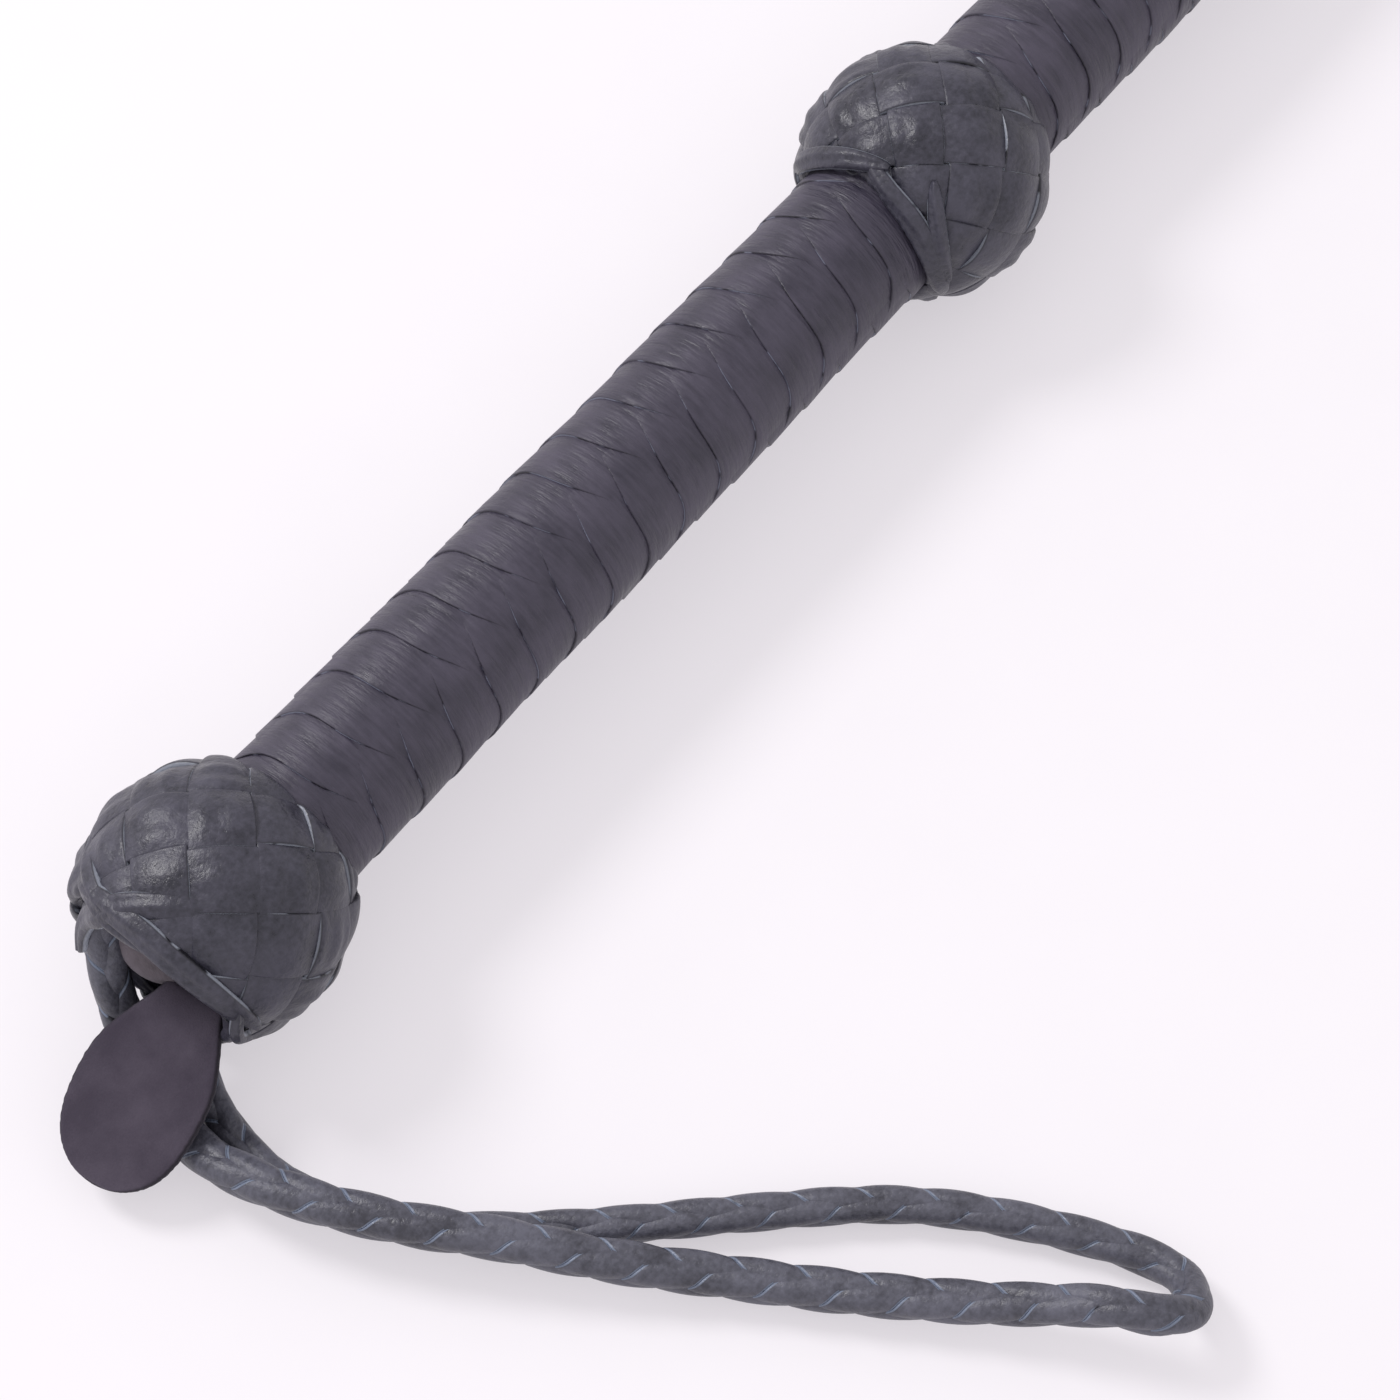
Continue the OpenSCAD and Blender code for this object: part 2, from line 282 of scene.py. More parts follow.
# grain that is stretched round the crop
AROUND = (1, 0.14, 0.14)
PLAIT_LEATHER = leather("plait_leather", (0.024, 0.021, 0.036), (0.058, 0.051, 0.076),
                        (0.17, 0.18, 0.24), 0.34, 0.60, 0.45, AROUND, 2.4)
KNOT_LEATHER = leather("knot_leather", (0.016, 0.016, 0.025), (0.056, 0.054, 0.076),
                       (0.26, 0.28, 0.33), 0.26, 0.50, 0.75, None, 1.2, 0.9)
CORD_LEATHER = leather("cord_leather", (0.036, 0.036, 0.048), (0.105, 0.106, 0.136),
                       (0.17, 0.20, 0.27), 0.28, 0.52, 1.0, None, 1.4)
KEEPER_LEATHER = leather("keeper_leather", (0.026, 0.023, 0.036), (0.050, 0.045, 0.064),
                         (0.15, 0.15, 0.19), 0.40, 0.56, 0.2)


def suede(name, dark, light, fluff, streaks=None):
    """Napped leather: soft mottling, a fine nap and a darker rim."""
    material, tree, shader = node_material(name)
    broad = noise(tree, 120, 4)
    nap = noise(tree, 3800, 5, streaks, 0.7)
    grain = sum_of(tree, (broad, 0.7), (nap, 0.3))
    mottled = mix_colour(tree, remap(tree, grain, 0.38, 0.62, 0, 1), dark, light)
    rim = tuple(c * 0.3 for c in dark)
    colour = mix_colour(tree, remap(tree, value_of(tree, "rim"), 0.3, 1, 0, 1), mottled, rim)
    tree.links.new(colour, shader.inputs["Base Color"])
    tree.links.new(remap(tree, nap, 0.3, 0.7, 0.82, 0.98), shader.inputs["Roughness"])
    bump(tree, shader, sum_of(tree, (nap, 1.0), (broad, 0.4)), 0.00012)
    shader.inputs["Specular IOR Level"].default_value = 0.2
    shader.inputs["Sheen Weight"].default_value = fluff
    shader.inputs["Sheen Roughness"].default_value = 0.6
    shader.inputs["Sheen Tint"].default_value = (0.72, 0.68, 0.80, 1)
    return material


TONGUE_SUEDE = suede("suede", (0.042, 0.034, 0.050), (0.072, 0.060, 0.082), 0.14)
DISC_LEATHER = suede("disc_leather", (0.070, 0.060, 0.066), (0.14, 0.12, 0.135), 0.15, (1, 0.3, 0.05))


def plain(name, dark, light, scale, rough, relief, metal=0.0, stretch=None):
    """A mottled material for thread, wood, fibre and iron."""
    material, tree, shader = node_material(name)
    grain = noise(tree, scale, 4, stretch)
    colour = mix_colour(tree, remap(tree, grain, 0.3, 0.7, 0, 1), dark, light)
    tree.links.new(colour, shader.inputs["Base Color"])
    tree.links.new(remap(tree, grain, 0.3, 0.7, rough - 0.08, rough + 0.08), shader.inputs["Roughness"])
    bump(tree, shader, grain, relief)
    shader.inputs["Metallic"].default_value = metal
    return material


THREAD = plain("thread", (0.012, 0.012, 0.015), (0.040, 0.039, 0.046), 3000, 0.55, 0.00008)
WOOD = plain("core_wood", (0.30, 0.19, 0.10), (0.48, 0.34, 0.21), 260, 0.6, 0.00006, stretch=(0.08, 1, 1))
FIBRE = plain("glass_fibre", (0.58, 0.55, 0.44), (0.75, 0.72, 0.60), 700, 0.5, 0.00004, stretch=(0.05, 1, 1))
IRON = plain("iron", (0.10, 0.10, 0.11), (0.22, 0.22, 0.23), 500, 0.55, 0.00006, metal=1.0)


# ---------------------------------------------------------------- flat strands

TAU = 2 * math.pi
# a strand's end is left out where less than this of its width is inside the plait, out of 2
LEAST_WIDTH = 0.05


def ease(u):
    """Smooth step from 0 to 1."""
    u = min(1.0, max(0.0, u))
    return u * u * (3 - 2 * u)


def band_section(thick, round_share, spans, drop=0.45):
    """Closed outline of a flat strand: place across from -1 to 1, height from -thick to 0, and rim.

    round_share is the part of the half width that is rounded off, by drop times the thickness."""
    flat = 1 - round_share
    across = [flat * (-1 + 2 * i / spans) for i in range(spans + 1)]
    edges = [flat + round_share * share for share in (0.5, 0.85, 1)]
    across = [-v for v in reversed(edges)] + across + edges
    top = []
    for v in across:
        edge = max(0.0, (abs(v) - flat) / round_share)
        sink = drop * thick * (1 - math.sqrt(max(0.0, 1 - edge * edge)))
        top.append((v, -sink, edge))
    under = [(0.99 * v, -thick - 0.3 * h, e) for v, h, e in reversed(top)]
    return top + under


def within(centre, half, low, high):
    """The part of a strand's width, from -1 to 1, that lies between two stations."""
    return max(-1.0, (low - centre) / half), min(1.0, (high - centre) / half)


def plait_strand(name, x_a, x_b, lead_of, radius_of, seam_of, family, index, look):
    """One strand of a round plait with two strands each way.

    lead_of, radius_of and seam_of give the lead, the outer radius and the seam's angle at a station.
    family is 1 or -1 for the two ways round, and index is 0 or 1 for the two strands of a family."""
    section = band_section(look["thick"], look["round"], 6)
    mean = (look["over"] + look["under"]) / 2
    bias = (look["under"] - look["over"]) / 2
    points, rim = [], []
    rings = 0
    turn = -2.0
    station = x_a + lead_of(x_a) * turn
    while True:
        lead = lead_of(station)
        phi = family * TAU * turn
        wave = look["flat"] / 4 * math.sin(4 * TAU * turn)
        centre = station + lead * 0.5 * index - lead / TAU * wave
        half = look["fill"] * lead / 2
        low, high = within(centre, half, x_a, x_b)
        if centre - half > x_b:
            break
        if high - low > LEAST_WIDTH:
            c = family * math.cos(2 * phi)
            weave = mean * c - bias * math.sqrt(c * c + 0.02)
            for v, h, e in section:
                v = low + (high - low) * (v + 1) / 2
                x = centre + v * half
                r = radius_of(x)
                r += (weave - look["tilt"] * v + h) * r / GRIP_R
                theta = phi + seam_of(x) - math.pi / 4
                points.append((x, -r * math.sin(theta), AXIS_Z + r * math.cos(theta)))
                # rim sets the painted seam shade and edge highlight: full on the exposed edge, less on the
                # tucked one
                rim.append(e if v < 0 else 0.6 * e)
            rings += 1
        turn += 1 / look["steps"]
        station += lead / look["steps"]
    piece = make_mesh(name, points, tube_faces(rings, len(section)), {"rim": rim})
    outward(piece)
    return piece


GRIP_LOOK = {"thick": STRAND_T, "round": 0.06, "steps": 56, "flat": 0.95, "fill": 0.515,
             "over": 0.10 * MM, "under": 0.36 * MM, "tilt": 0.14 * MM}
SHAFT_LOOK = dict(GRIP_LOOK, steps=44)
GRIP_LEAD = 15.18 * MM
SHAFT_LEAD_END = 9.12 * MM
# radii of the shaft at stations from the pommel's centre line: it swells past the collar, then tapers
SHAFT_STATIONS = [(146, 10.95), (165, 11.25), (190, 11.6), (225, 11.1), (320, 8.9), (544, 3.75)]


def grip_radius(x):
    """The grip is a little uneven along its length."""
    return GRIP_R - 0.12 * MM + 0.08 * MM * math.sin(x * 190)


def seam_angle(x, degrees, station, drift):
    """Angle of a plait's seam: degrees at a station in mm, and less by drift degrees for each metre."""
    return math.radians(degrees - drift * (x - POMMEL_X - station * MM))


def grip_seam(x):
    return seam_angle(x, 31.5, 28.5, 390)


def shaft_seam(x):
    return seam_angle(x, 5.2, 164, 300)


def shaft_radius(x):
    stations, radii = zip(*SHAFT_STATIONS)
    return float(np.interp((x - POMMEL_X) / MM, stations, radii)) * MM


def shaft_lead(x):
    share = min(1, max(0, (x - SHAFT_START) / (SHAFT_END - SHAFT_START)))
    return GRIP_LEAD + (SHAFT_LEAD_END - GRIP_LEAD) * share


def grip_lead(x):
    return GRIP_LEAD


def make_plaits():
    for family, first_node in ((1, 1), (-1, 3)):
        for index in range(2):
            number = first_node + index
            strand = plait_strand(f"grip_plait_{number}", GRIP_START, GRIP_END, grip_lead,
                                  grip_radius, grip_seam, family, index, GRIP_LOOK)
            finish_piece(strand, "crop", "plait_leather", PLAIT_LEATHER, f"grip_strand_{number}")
            strand = plait_strand(f"shaft_plait_{number}", SHAFT_START, SHAFT_END, shaft_lead,
                                  shaft_radius, shaft_seam, family, index, SHAFT_LOOK)
            finish_piece(strand, "crop", "plait_leather", PLAIT_LEATHER, f"shaft_strand_{number}")


# ---------------------------------------------------------------- wrist loop

# the cord's centre line in mm, from the pommel's mouth round the loop and back: x from the pommel's
# centre line, then y and z
LOOP_ROUTE = [
    (-11.8, 8.4, 22), (-13.4, 8.6, 19.8), (-14.6, 7.7, 16.8), (-15.8, 6.4, 13.6), (-16.8, 5.2, 10.4),
    (-17.8, 3.6, 7), (-19, 1, 4.2), (-20.5, -2.5, 3), (-22.6, -7, 3.2), (-24.6, -12.5, 4.5),
    (-25.3, -18.8, 5.9), (-24.6, -25, 7.4), (-22.7, -31.7, 8.1), (-19.7, -38.9, 8.2), (-16.2, -45.7, 8.1),
    (-11, -54.5, 7.6), (-4, -66.5, 5.8), (4, -78.8, 4.2), (12, -91.8, 4.2), (20, -104.2, 5.2),
    (25.5, -112.8, 7.6), (28.6, -118.4, 10), (31.4, -123.4, 9.8), (35.6, -125.4, 6.8), (39.2, -122.2, 3.8),
    (39, -116.8, 2.8), (36.9, -110.6, 2.8), (32.9, -101.7, 2.8), (28, -92.9, 2.8), (22, -84.9, 2.8),
    (11.6, -74, 2.8), (1, -63.3, 2.8), (-9, -52.3, 2.8), (-16, -42.3, 2.8), (-20, -33.5, 2.8),
    (-21.4, -25.5, 2.8), (-20.8, -19, 2.8), (-19.4, -13.8, 3), (-17.8, -10.2, 4.8), (-16, -8.2, 7.4),
    (-13, -6.4, 10.2),
]


def route_line(route, steps, origin_x):
    """Points along the smooth route, steps of them from one route point to the next, in metres."""
    p = np.array(route, float) * MM
    p[:, 0] += origin_x
    n = len(p) - 1
    line = []
    for i in range(n):
        a, b, c, d = p[max(0, i - 1)], p[i], p[i + 1], p[min(n, i + 2)]
        for k in range(steps):
            u = k / steps
            line.append((2 * b + (c - a) * u + (2 * a - 5 * b + 4 * c - d) * u * u
                         + (3 * b - a - 3 * c + d) * u ** 3) / 2)
    line.append(p[n])
    return np.array(line)


def even_line(line, spacing):
    """The same line with evenly spaced points, and its length."""
    along = np.concatenate([[0], np.cumsum(np.linalg.norm(np.diff(line, axis=0), axis=1))])
    count = int(round(along[-1] / spacing)) + 1
    wanted = np.linspace(0, along[-1], count)
    return np.stack([np.interp(wanted, along, line[:, k]) for k in range(3)], 1), along[-1]


def across_line(line, up):
    """Two directions across the line, carried along it without twist."""
    ahead = np.gradient(line, axis=0)
    ahead /= np.linalg.norm(ahead, axis=1)[:, None]
    side = np.array(up, float)
    sides = []
    for t in ahead:
        side = side - (side @ t) * t
        side /= np.linalg.norm(side)
        sides.append(side)
    sides = np.array(sides)
    return sides, np.cross(ahead, sides)


def braided_cord(name, line, length):
    """A four-strand round plait laid along a line, with plump strands.

    It is flat where it rests on the surface, and its first leg is a little thicker than its second."""
    lead = 16.4 * MM
    flat = 0.2
    half = 0.50 * lead / 2
    steps = 40
    start_angle = 1.4
    lowest = 0.05 * MM
    middle_r = CORD_D / 2 - 0.46 * MM
    weave, tilt, crown = 0.34 * MM, 0.03 * MM, 0.34 * MM
    ring_gap = length / (len(line) - 1)
    sides, ups = across_line(line, (0, 0, 1))
    # only the strand's outer face is crowned
    section = [(v, h + (crown * (1 - v * v) if h > -0.5 * MM else 0), e)
               for v, h, e in band_section(0.8 * MM, 0.15, 6, 0.2)]
    points, faces, rim = [], [], []
    for family in (1, -1):
        for index in range(2):
            first = len(points)
            rings = 0
            for turn in np.arange(-2, length / lead + 2, 1 / steps):
                wave = flat / 4 * math.sin(4 * TAU * turn)
                centre = lead * (turn + 0.5 * index) - lead / TAU * wave
                low, high = within(centre, half, 0, length)
                if high - low <= LEAST_WIDTH:
                    continue
                for v, h, e in section:
                    v = low + (high - low) * (v + 1) / 2
                    s = centre + v * half
                    slim = 1.05 - 0.13 * ease((s / length - 0.4) / 0.2)
                    r = slim * (middle_r + family * weave * math.cos(2 * TAU * turn) - tilt * v + h)
                    phi = family * TAU * turn + start_angle
                    k = min(len(line) - 2, int(s / ring_gap))
                    u = s / ring_gap - k
                    middle = line[k] * (1 - u) + line[k + 1] * u
                    a = sides[k] * (1 - u) + sides[k + 1] * u
                    b = ups[k] * (1 - u) + ups[k + 1] * u
                    point = middle + r * (math.cos(phi) * a + math.sin(phi) * b)
                    point[2] = max(point[2], lowest)
                    points.append(point)
                    # rim sets the painted seam shade and edge highlight on the cord's strands
                    rim.append(min(1, 1.6 * e))
                rings += 1
            faces += tube_faces(rings, len(section), first)
    return make_mesh(name, points, faces, {"rim": rim})


def make_loop():
    line, length = even_line(route_line(LOOP_ROUTE, 12, POMMEL_X), 0.5 * MM)
    loop = braided_cord("wrist_loop", line, length)
    outward(loop)
    finish_piece(loop, "crop", "cord_leather", CORD_LEATHER, "wrist_loop_cord")


# ---------------------------------------------------------------- knots

def knot_profile(near_r, far_r, stretch, lip):
    """Outline of a knot's cover, from inside its near mouth to inside its far one: stations and radii.

    It follows a sphere, stretched toward the butt, and turns in at each end round a lip."""
    near = math.asin(near_r / KNOT_R)
    far = math.pi - math.asin(far_r / KNOT_R)
    inner = KNOT_R - lip
    near_turn = math.pi * 0.9
    far_turn = math.pi * 0.6
    near_steps, cover_steps, far_steps = 14, 90, 12
    points = []
    for i in range(near_steps + 1):
        t = near + near_turn * (i / near_steps - 1)
        points.append((-stretch * inner * math.cos(near) - lip * math.cos(t),
                       inner * math.sin(near) + lip * math.sin(t)))
    for i in range(1, cover_steps):
        t = near + (far - near) * i / cover_steps
        longer = stretch if t < math.pi / 2 else 1
        points.append((-(longer * inner + lip) * math.cos(t), KNOT_R * math.sin(t)))
    for i in range(far_steps + 1):
        t = far + far_turn * i / far_steps
        points.append((-inner * math.cos(far) - lip * math.cos(t),
                       inner * math.sin(far) + lip * math.sin(t)))
    return np.array(points)


class Skin:
    """A surface of revolution round the axis, with a height u on which 45 degree bands keep their angle."""

    def __init__(self, centre_x, profile):
        self.centre_x = centre_x
        step = np.linalg.norm(np.diff(profile, axis=0), axis=1)
        mean_r = (profile[1:, 1] + profile[:-1, 1]) / 2
        self.u = np.concatenate([[0], np.cumsum(step / mean_r)])
        self.u -= self.u[np.argmax(profile[:, 1])]
        self.x, self.r = profile[:, 0], profile[:, 1]
        ahead = np.gradient(profile, axis=0)
        ahead /= np.linalg.norm(ahead, axis=1)[:, None]
        self.nx, self.nr = -ahead[:, 1], ahead[:, 0]

    def point(self, u, turn, height):
        """The point at u, at an angle round the axis and at a height above the skin."""
        x = np.interp(u, self.u, self.x) + height * np.interp(u, self.u, self.nx)
        r = np.interp(u, self.u, self.r) + height * np.interp(u, self.u, self.nr)
        return (self.centre_x + x, -r * math.sin(turn), AXIS_Z + r * math.cos(turn))


def woven_bands(skin, bands, turn0, u0, look, seed):
    """Points, faces and values of a basket weave of bands at 45 degrees both ways round a skin."""
    delta = TAU / bands
    tiles = 60
    low, high = skin.u[0], skin.u[-1]
    points, faces, rim = [], [], []
    section = band_section(look["thick"], look["round"], 12)
    rng = np.random.default_rng(seed)
    for family in (1, -1):
        for a in range(bands):
            wide = look["fill"] * (1 + look["uneven"] * (rng.random() - 0.5))
            drift = look["uneven"] * (rng.random() - 0.5)
            lift = rng.random(tiles) - 0.5
            folds = rng.random(tiles)
            first = len(points)
            rings = int((high - low) / delta * 2 * look["steps"])
            for i in range(rings + 1):
                c = low + (high - low) * i / rings
                level = 2 * (c - u0) / delta
                over = family * math.cos(math.pi * level)
                tile = int(math.floor(level + 0.5)) + tiles // 2
                inside = max(0.0, over)
                square = min(1, 2 * (c - low) / delta, 2 * (high - c) / delta)
                for v, h, e in section:
                    s = (v * wide + drift) * delta / 2
                    u = c - square * s / 2
                    turn = turn0 + family * (a * delta + u - u0 + s)
                    height = look["base"] + look["weave"] * over + h
                    height += look["crown"] * (1 - v * v) * inside
                    height += look["tip"] * lift[tile] * v * inside
                    if folds[tile] > look["smooth"]:
                        height += look["fold"] * math.cos(7 * v + 9 * lift[tile]) * inside * (1 - v ** 4)
                    points.append(skin.point(u, turn, height))
                    # rim sets the painted seam shade and edge highlight, weaker on some tiles
                    rim.append(e if lift[tile] > -0.1 else 0.55 * e)
            faces += tube_faces(rings + 1, len(section), first)
    return points, faces, {"rim": rim}


KNOT_LOOK = {"thick": 0.9 * MM, "round": 0.085, "steps": 16, "fill": 0.96, "uneven": 0.13,
             "weave": 0.36 * MM, "crown": 0.22 * MM, "tip": 0.75 * MM, "base": -0.50 * MM,
             "fold": 0.16 * MM, "smooth": 0.5}


def knot(name, centre_x, near_r, stretch, bands, turn0, u0, seed, node):
    skin = Skin(centre_x, knot_profile(near_r, 12.4 * MM, stretch, 1.3 * MM))
    piece = make_mesh(name, *woven_bands(skin, bands, turn0, u0, KNOT_LOOK, seed))
    outward(piece)
    finish_piece(piece, "crop", "knot_leather", KNOT_LEATHER, node)


def make_knots():
    knot("pommel_turks_head", POMMEL_KNOT_X, 13.9 * MM, 1.06, 9, 0.34, -0.1, 5, "pommel_knot")
    knot("collar_turks_head", COLLAR_X, 12.4 * MM, 1.0, 9, 0.5, 0.0, 9, "collar_knot")


# strands of lace over the lip of the pommel's mouth. Each has its route, as angle from the top toward +Y
# in degrees, station and radius in mm, and then its width in mm
LIP_LACES = [
    ([(58, -11.6, 14.2), (42, -14.0, 13.9), (18, -14.9, 13.6), (-5, -15.1, 13.5), (-28, -15.1, 13.5),
      (-50, -14.5, 14.4), (-70, -13.4, 15.2), (-90, -11.6, 15.9)], 3.8),
    ([(-30, -6.4, 16.4), (-10, -10.8, 15.7), (10, -14.1, 14.2), (28, -15.9, 11.9), (50, -15.8, 10.4),
      (74, -16.6, 9.4), (96, -17.6, 8.8)], 3.6),
    ([(62, -6.8, 16.4), (46, -12, 15.2), (26, -15.2, 13.2), (4, -15.5, 11.4), (-18, -14.6, 10.8),
      (-34, -12.6, 11.4)], 3.4),
    ([(-70, -12.4, 15.3), (-79, -14.2, 15.5), (-88, -14.5, 15.5), (-97, -12.6, 15.4)], 1.8),
]


# strands of lace round the collar's rim on the grip's side, in the same way
RIM_LACES = [
    ([(84, -11.8, 12.9), (62, -13.4, 13.1), (38, -13.7, 13.3), (14, -13.0, 13.9), (-8, -11.2, 14.3)], 3.2),
    ([(8, -11.4, 14.0), (-14, -13.4, 13.1), (-40, -13.9, 12.8), (-68, -13.9, 12.8), (-94, -13.2, 13.2),
      (-112, -11.4, 13.6)], 3.4),
    ([(-30, -8.8, 15.7), (-46, -11.4, 14.6), (-66, -12.9, 13.9), (-90, -12.4, 14.0)], 2.6),
]


def make_laces(name, routes, origin_x, middle_x):
    """Flat strands of lace laid over a knot.

    Their stations count from origin_x, and they face away from the knot's middle."""
    section = band_section(0.9 * MM, 0.14, 10)
    middle = np.array([middle_x, 0, AXIS_Z])
    points, faces, rim = [], [], []
    for route, wide in routes:
        route = [(x, r * math.sin(math.radians(t)), AXIS_Z / MM + r * math.cos(math.radians(t)))
                 for t, x, r in route]
        line, length = even_line(route_line(route, 12, origin_x), 0.5 * MM)
        ahead = np.gradient(line, axis=0)
        first = len(points)
        for k, (place, t) in enumerate(zip(line, ahead)):
            share = k / (len(line) - 1)
            narrow = max(0.3, math.sin(math.pi * share) ** 0.3)
            out = place - middle
            t = t / np.linalg.norm(t)
            out = out - (out @ t) * t
            out /= np.linalg.norm(out)
            side = np.cross(t, out)
            for v, h, e in section:
                crease = 0.14 * MM * math.sin(5 * v + 6 * share) * (1 - v * v)
                lift = h + 0.55 * MM * (1 - v * v) + crease
                points.append(place + out * lift + side * v * wide * MM / 2 * narrow)
                rim.append(e)
        faces += tube_faces(len(line), len(section), first)
    laces = make_mesh(name, points, faces, {"rim": rim})
    outward(laces)
    finish_piece(laces, "crop", "knot_leather", KNOT_LEATHER)


# ---------------------------------------------------------------- butt pieces

# radius of the small flat cap at each end of a turned piece
POLE_R = 0.05 * MM


def lathe(name, outline, centre_x, sides=96, rim_of=None):
    """A turned piece on the crop's axis, from stations and radii."""
    points, rim = [], []
    for x, r in outline:
        for k in range(sides):
            a = TAU * k / sides
            points.append((centre_x + x, -r * math.sin(a), AXIS_Z + r * math.cos(a)))
            rim.append(rim_of(x, r) if rim_of else 0)
    piece = make_mesh(name, points, tube_faces(len(outline), sides), {"rim": rim})
    outward(piece)
    return piece


def make_disc():
    """Leather disc in the pommel's mouth: its face swells out beside the tongue, and its edges are round."""
    radius = (disc_high.z - disc_low.z) / 2
    thick = disc_high.x - disc_low.x
    soft = 0.5 * MM
    dome = 0.25 * MM
    swell, swell_r = 4.2 * MM, 7.6 * MM
    swell_y, swell_z = 2.5 * MM, AXIS_Z - 2 * MM
    flat_r = radius - soft
    face = [(-dome * (1 - (r / radius) ** 2), r) for r in np.linspace(POLE_R, flat_r, 12)]
    corner = [(soft - soft * math.cos(a), flat_r + soft * math.sin(a)) for a in np.linspace(0.3, 1.57, 5)]
    back = [(thick - soft, radius), (thick, flat_r), (thick, POLE_R)]
    disc = lathe("butt_disc_leather", face + corner + back, disc_low.x,
                 rim_of=lambda x, r: 0.8 if r > flat_r else 0)
    for vertex in disc.data.vertices:
        y, z = vertex.co.y - swell_y, vertex.co.z - swell_z
        if vertex.co.x < disc_low.x + soft:
            vertex.co.x -= swell * max(0, 1 - (y * y + z * z) / swell_r ** 2)
    finish_piece(disc, "crop", "disc_leather", DISC_LEATHER, "butt_disc")


TONGUE_LEN = 27 * MM
TONGUE_W = 18 * MM
TONGUE_NECK_W = 8.6 * MM
TONGUE_T = 1.5 * MM
TONGUE_SLOPE = math.radians(20)
TONGUE_YAW = math.radians(8)


def tongue_half(s):
    """Half width of the tongue at a distance from its hinge line: widest half way, then a full oval end."""
    widest = 13.5 * MM
    if s < widest:
        share = math.sin(math.pi / 2 * max(0, s / widest)) ** 1.3
        return (TONGUE_NECK_W + (TONGUE_W - TONGUE_NECK_W) * share) / 2
    return TONGUE_W / 2 * math.sqrt(max(0, 1 - ((s - widest) / (TONGUE_LEN - widest)) ** 3))


def make_tongue():
    """Suede tongue: a round end on a narrow neck, a little cupped and drooping at its end."""
    long_steps, wide_steps, edge_steps = 64, 24, 3
    soft = TONGUE_T / 2
    edge = soft * 0.6
    hinge = Matrix.Translation(JOINT_PLACE["tongue_flex"])
    turned = hinge @ Matrix.Rotation(TONGUE_YAW, 4, "Z") @ Matrix.Rotation(-TONGUE_SLOPE, 4, "Y")
    rng = np.random.default_rng(3)
    ragged = rng.random(long_steps + 1) - 0.5
    points, rim = [], []
    for i in range(long_steps + 1):
        share = i / long_steps
        s = TONGUE_LEN * (1 - math.cos(math.pi * (0.5 + 0.5 * share))) - TONGUE_LEN
        half = max(0.15 * MM, tongue_half(s)) + 0.12 * MM * ragged[i] * ease(s / (8 * MM))
        sag = 1.1 * MM * ease((s - 12 * MM) / (15 * MM)) - 0.5 * MM * math.sin(math.pi * share)
        ring = []
        for face in (1, -1):
            for k in range(wide_steps + 1):
                v = -1 + 2 * k / wide_steps
                ring.append((face * v * (half - edge), face * soft, 0.0 if abs(v) < 0.96 else 0.3))
            for k in range(1, edge_steps + 1):
                a = math.pi * k / (edge_steps + 1)
                y = half - edge + edge * math.sin(a)
                ring.append((face * y, face * soft * math.cos(a), 1.0))
        thin = min(1.0, 0.35 + (TONGUE_LEN - s) / (0.8 * MM), 0.55 + s / (1.2 * MM))
        for y, z, e in ring:
            cup = 0.5 * MM * (y / (TONGUE_W / 2)) ** 2 * share
            points.append(turned @ Vector((-s, y, z * thin - sag - cup)))
            rim.append(max(e, ease((s - TONGUE_LEN + 0.5 * MM) / (0.5 * MM))))
    sides = 2 * (wide_steps + 1 + edge_steps)
    tongue = make_mesh("suede_tongue", points, tube_faces(long_steps + 1, sides), {"rim": rim})
    outward(tongue)
    finish_piece(tongue, "tongue", "suede", TONGUE_SUEDE, "butt_tongue")


# ---------------------------------------------------------------- tip pieces

KEEPER_LEN = 66 * MM
KEEPER_W = 28 * MM
KEEPER_NECK_W = 7 * MM
KEEPER_SHOULDER = 16 * MM
KEEPER_CORNER = 5 * MM
LEAF_T = 1.25 * MM
STITCHES = 9
STITCH_INSET = 2.6 * MM
# where the stitches lie across the leaves, from -1 to 1
STITCH_ACROSS = 0.81


def keeper_half(s):
    """Half width of the keeper at a distance from its neck."""
    corner = min(KEEPER_CORNER, max(0, s - (KEEPER_LEN - KEEPER_CORNER)))
    width = KEEPER_NECK_W + (KEEPER_W - KEEPER_NECK_W) * ease(s / KEEPER_SHOULDER)
    return width / 2 - KEEPER_CORNER + math.sqrt(max(0, KEEPER_CORNER ** 2 - corner ** 2))


def keeper_wave(s, v):
    """How far the leaves are out of flat at a distance from the neck, and across from -1 to 1."""
    return 0.25 * MM * math.sin(s * 110) * v * ease(s / KEEPER_SHOULDER)


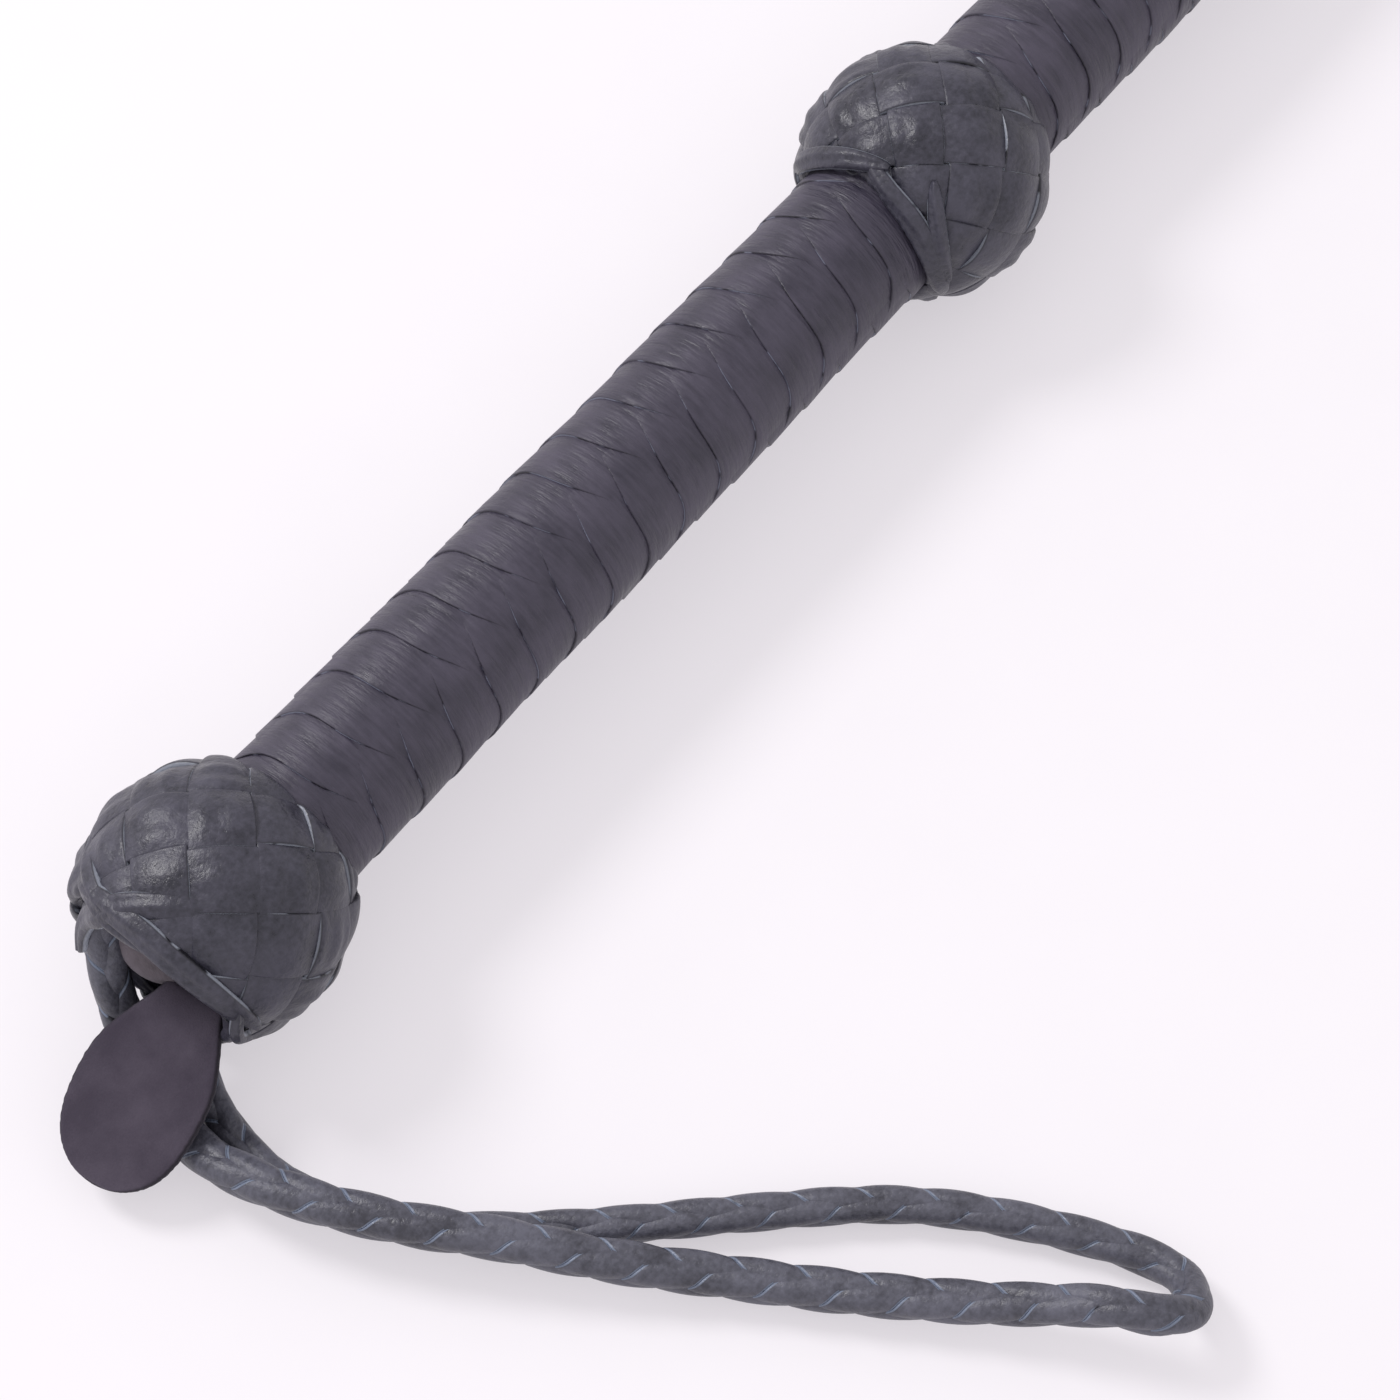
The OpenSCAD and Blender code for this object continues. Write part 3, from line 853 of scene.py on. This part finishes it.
def make_keeper():
    """Keeper flap: one strip folded at its far end, so that two leaves lie on each other."""
    place = JOINT_PLACE["keeper_flex"]
    outer_r = (keeper_high.z - keeper_low.z) / 2
    inner_r = outer_r - LEAF_T
    last = KEEPER_LEN - outer_r
    stations = [(s, 0.0) for s in np.linspace(0, last, 44)]
    bend = [(last, a) for a in np.linspace(0, math.pi, 12)[1:-1]]
    path = stations + bend + [(s, math.pi) for s, _ in reversed(stations)]
    across = 20
    points, rim = [], []
    for radius, rounding in ((outer_r, 0.3 * MM), (inner_r, 0)):
        for s, a in path:
            x = s + radius * math.sin(a)
            z = radius * math.cos(a)
            half = keeper_half(min(KEEPER_LEN, s + outer_r * math.sin(a)))
            for k in range(across + 1):
                v = -1 + 2 * k / across
                soft = rounding * max(0, abs(v) - 0.93) / 0.07
                points.append((place.x + x, place.y + v * half,
                               place.z + z - math.copysign(soft, z) + keeper_wave(s, v)))
                rim.append(1.0 if abs(v) > 0.97 else 0.0)
    rows, wide = len(path), across + 1
    shift = rows * wide
    faces = []
    for i in range(rows - 1):
        for k in range(across):
            a = i * wide + k
            faces.append((a, a + 1, a + wide + 1, a + wide))
            faces.append((shift + a, shift + a + wide, shift + a + wide + 1, shift + a + 1))
        for k in (0, across):
            a = i * wide + k
            faces.append((a, a + wide, shift + a + wide, shift + a))
    for i in (0, rows - 1):
        for k in range(across):
            a = i * wide + k
            faces.append((a, shift + a, shift + a + 1, a + 1))
    keeper = make_mesh("keeper_leaves", points, faces, {"rim": rim})
    outward(keeper)
    finish_piece(keeper, "keeper", "keeper_leather", KEEPER_LEATHER, "keeper_flap")


def capsule(points, faces, start, end, radius):
    """Adds a short thread with round ends to a list of points and faces."""
    sides, rounds = 8, 3
    narrowest = 0.08
    start, end = Vector(start), Vector(end)
    ahead = (end - start).normalized()
    side = ahead.orthogonal().normalized()
    other = ahead.cross(side)
    rings = []
    for i in range(rounds + 1):
        a = math.pi / 2 * i / rounds
        rings.append((start - ahead * radius * math.cos(a), max(narrowest, math.sin(a)) * radius))
    for i in range(rounds + 1):
        a = math.pi / 2 * (1 - i / rounds)
        rings.append((end + ahead * radius * math.cos(a), max(narrowest, math.sin(a)) * radius))
    first = len(points)
    for centre, r in rings:
        for k in range(sides):
            a = TAU * k / sides
            points.append(centre + r * (math.cos(a) * side + math.sin(a) * other))
    faces += tube_faces(len(rings), sides, first)


def make_stitches():
    """Thread that sews the keeper's leaves: a row of stitches along each side, above and below."""
    place = JOINT_PLACE["keeper_flex"]
    thread_r = 0.33 * MM
    first = KEEPER_SHOULDER
    last = KEEPER_LEN - KEEPER_CORNER - STITCH_INSET
    gap = (last - first) / (STITCHES - 1)
    half_long = 0.36 * gap
    level = (keeper_high.z - keeper_low.z) / 2 + 0.06 * MM
    points, faces = [], []
    for side in (-1, 1):
        for face in (-1, 1):
            for i in range(STITCHES):
                s = first + gap * i
                x = place.x + s
                y = place.y + side * (KEEPER_W / 2 - STITCH_INSET)
                z = place.z + face * level + keeper_wave(s, side * STITCH_ACROSS)
                capsule(points, faces, (x - half_long, y, z), (x + half_long, y, z), thread_r)
    stitches = make_mesh("keeper_stitching", points, faces)
    outward(stitches)
    finish_piece(stitches, "keeper", "thread", THREAD, "keeper_stitches")


def make_whipping():
    """Waxed thread wound close over the end of the shaft's plait."""
    low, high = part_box("tip_binding")
    outer = (high.z - low.z) / 2
    thread_r = 0.36 * MM
    pitch = 0.66 * MM
    turns = (high.x - low.x - 2 * thread_r) / pitch
    steps, sides = 40, 8
    points = []
    count = int(turns * steps)
    for i in range(count + 1):
        a = TAU * i / steps
        x = low.x + thread_r + pitch * i / steps
        out = Vector((0, -math.sin(a), math.cos(a)))
        for k in range(sides):
            b = TAU * k / sides
            r = outer - thread_r * (1 - math.cos(b))
            points.append(Vector((x + thread_r * math.sin(b), 0, AXIS_Z)) + out * r)
    whipping = make_mesh("tip_whipping", points, tube_faces(count + 1, sides))
    outward(whipping)
    finish_piece(whipping, "crop", "thread", THREAD, "tip_binding")


def make_tip_plug():
    """Turned plug at the tip, rounded at its shoulder."""
    low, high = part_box("tip_ferrule")
    length = high.x - low.x
    wide = (high.z - low.z) / 2
    narrow = KEEPER_NECK_W / 2
    soft = 0.3 * MM
    steps = 9
    outline = [(0, POLE_R), (0, wide - soft), (0.1 * MM, wide - 0.1 * MM), (soft, wide)]
    for i in range(1, steps):
        a = math.pi / 2 * i / steps
        x = soft + (length - soft) * math.sin(a) ** 1.4
        outline.append((x, wide - (wide - narrow) * (1 - math.cos(a))))
    outline += [(length, narrow - 0.2 * MM), (length, POLE_R)]
    plug = lathe("tip_plug", outline, low.x, 64)
    finish_piece(plug, "crop", "thread", THREAD, "tip_ferrule")


def dress_cad_nodes():
    """Materials for the CAD pieces that stay inside."""
    inside = {"spine_rod": FIBRE, "grip_core": WOOD, "shaft_bolster": WOOD, "pommel_ball": IRON,
              "butt_tack": IRON, "collar_bead": WOOD, "collar_binding": THREAD}
    for name, material in inside.items():
        mesh = frame["nodes"][name].data
        mesh.materials.clear()
        mesh.materials.append(material)


make_loop()
make_plaits()
make_knots()
make_laces("pommel_lip_laces", LIP_LACES, POMMEL_X, POMMEL_KNOT_X)
make_laces("collar_rim_laces", RIM_LACES, COLLAR_X, COLLAR_X)
make_disc()
make_tongue()
make_keeper()
make_stitches()
make_whipping()
make_tip_plug()
dress_cad_nodes()


# ---------------------------------------------------------------- floor and light

def make_floor():
    """A wide, even surface that glows a little, so that shadows on it stay pale."""
    material, tree, shader = node_material("floor")
    grain = noise(tree, 40, 3)
    colour = mix_colour(tree, grain, (0.37, 0.36, 0.37), (0.39, 0.38, 0.39))
    tree.links.new(colour, shader.inputs["Base Color"])
    shader.inputs["Emission Color"].default_value = (0.973, 0.931, 0.982, 1)
    shader.inputs["Emission Strength"].default_value = 0.535
    shader.inputs["Roughness"].default_value = 0.9
    shader.inputs["Specular IOR Level"].default_value = 0.1
    half = 3.0
    corners = [(-half, -half, 0), (half, -half, 0), (half, half, 0), (-half, half, 0)]
    floor = make_mesh("floor", corners, [(0, 1, 2, 3)], smooth=False)
    floor.data.materials.append(material)


def area_light(name, place, target, size, power, colour):
    data = bpy.data.lights.new(name, "AREA")
    data.shape = "DISK"
    data.size = size
    data.energy = power
    data.color = colour
    light = bpy.data.objects.new(name, data)
    bpy.context.scene.collection.objects.link(light)
    light.location = place
    light.rotation_mode = "QUATERNION"
    light.rotation_quaternion = (Vector(target) - Vector(place)).to_track_quat("-Z", "Y")


def make_light():
    """Soft light from all round, and a gentle key from behind the crop."""
    world = bpy.data.worlds.new("world")
    bpy.context.scene.world = world
    world.use_nodes = True
    background = world.node_tree.nodes["Background"]
    background.inputs["Color"].default_value = (1.0, 0.972, 1.0, 1)
    background.inputs["Strength"].default_value = 0.86
    place = (POMMEL_X - 0.1, 0.75, 0.9)
    middle = (POMMEL_X + 60 * MM, -30 * MM, 0)
    area_light("key", place, middle, 0.4, 8, (1.0, 0.985, 1.0))
    bpy.context.scene.view_settings.view_transform = "Standard"


make_floor()
make_light()
